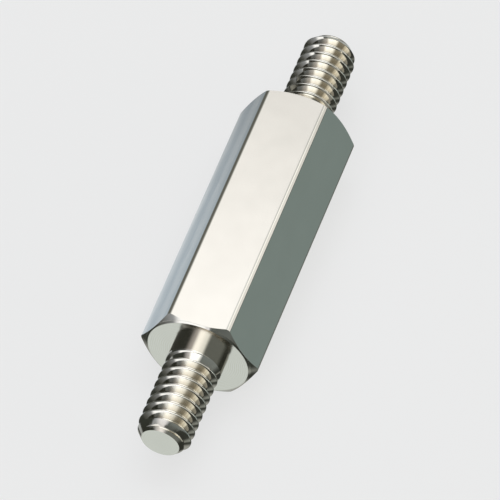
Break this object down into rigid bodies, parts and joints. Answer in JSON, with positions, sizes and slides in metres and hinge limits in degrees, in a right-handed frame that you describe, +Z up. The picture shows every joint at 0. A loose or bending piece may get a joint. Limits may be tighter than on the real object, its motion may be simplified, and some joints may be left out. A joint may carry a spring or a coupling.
{
  "type": "hex standoff",
  "caption": "Hexagonal metal spacer with rounded long corners, turned shoulders and a threaded stud standing out of each end.",
  "frame": {"origin": "on the floor under the middle of the part, at the centre of its bounding box's underside", "axes": "+Y along the standoff's axis towards one stud, +Z up out of the flat it lies on, +X to the right"},
  "size_m": [0.009, 0.0382, 0.0079],
  "materials": {
    "nickel_plate": "bright nickel plate on turned hex bar"
  },
  "bodies": {
    "root": {"hex_standoff": "nickel_plate"}
  },
  "joints": []
}
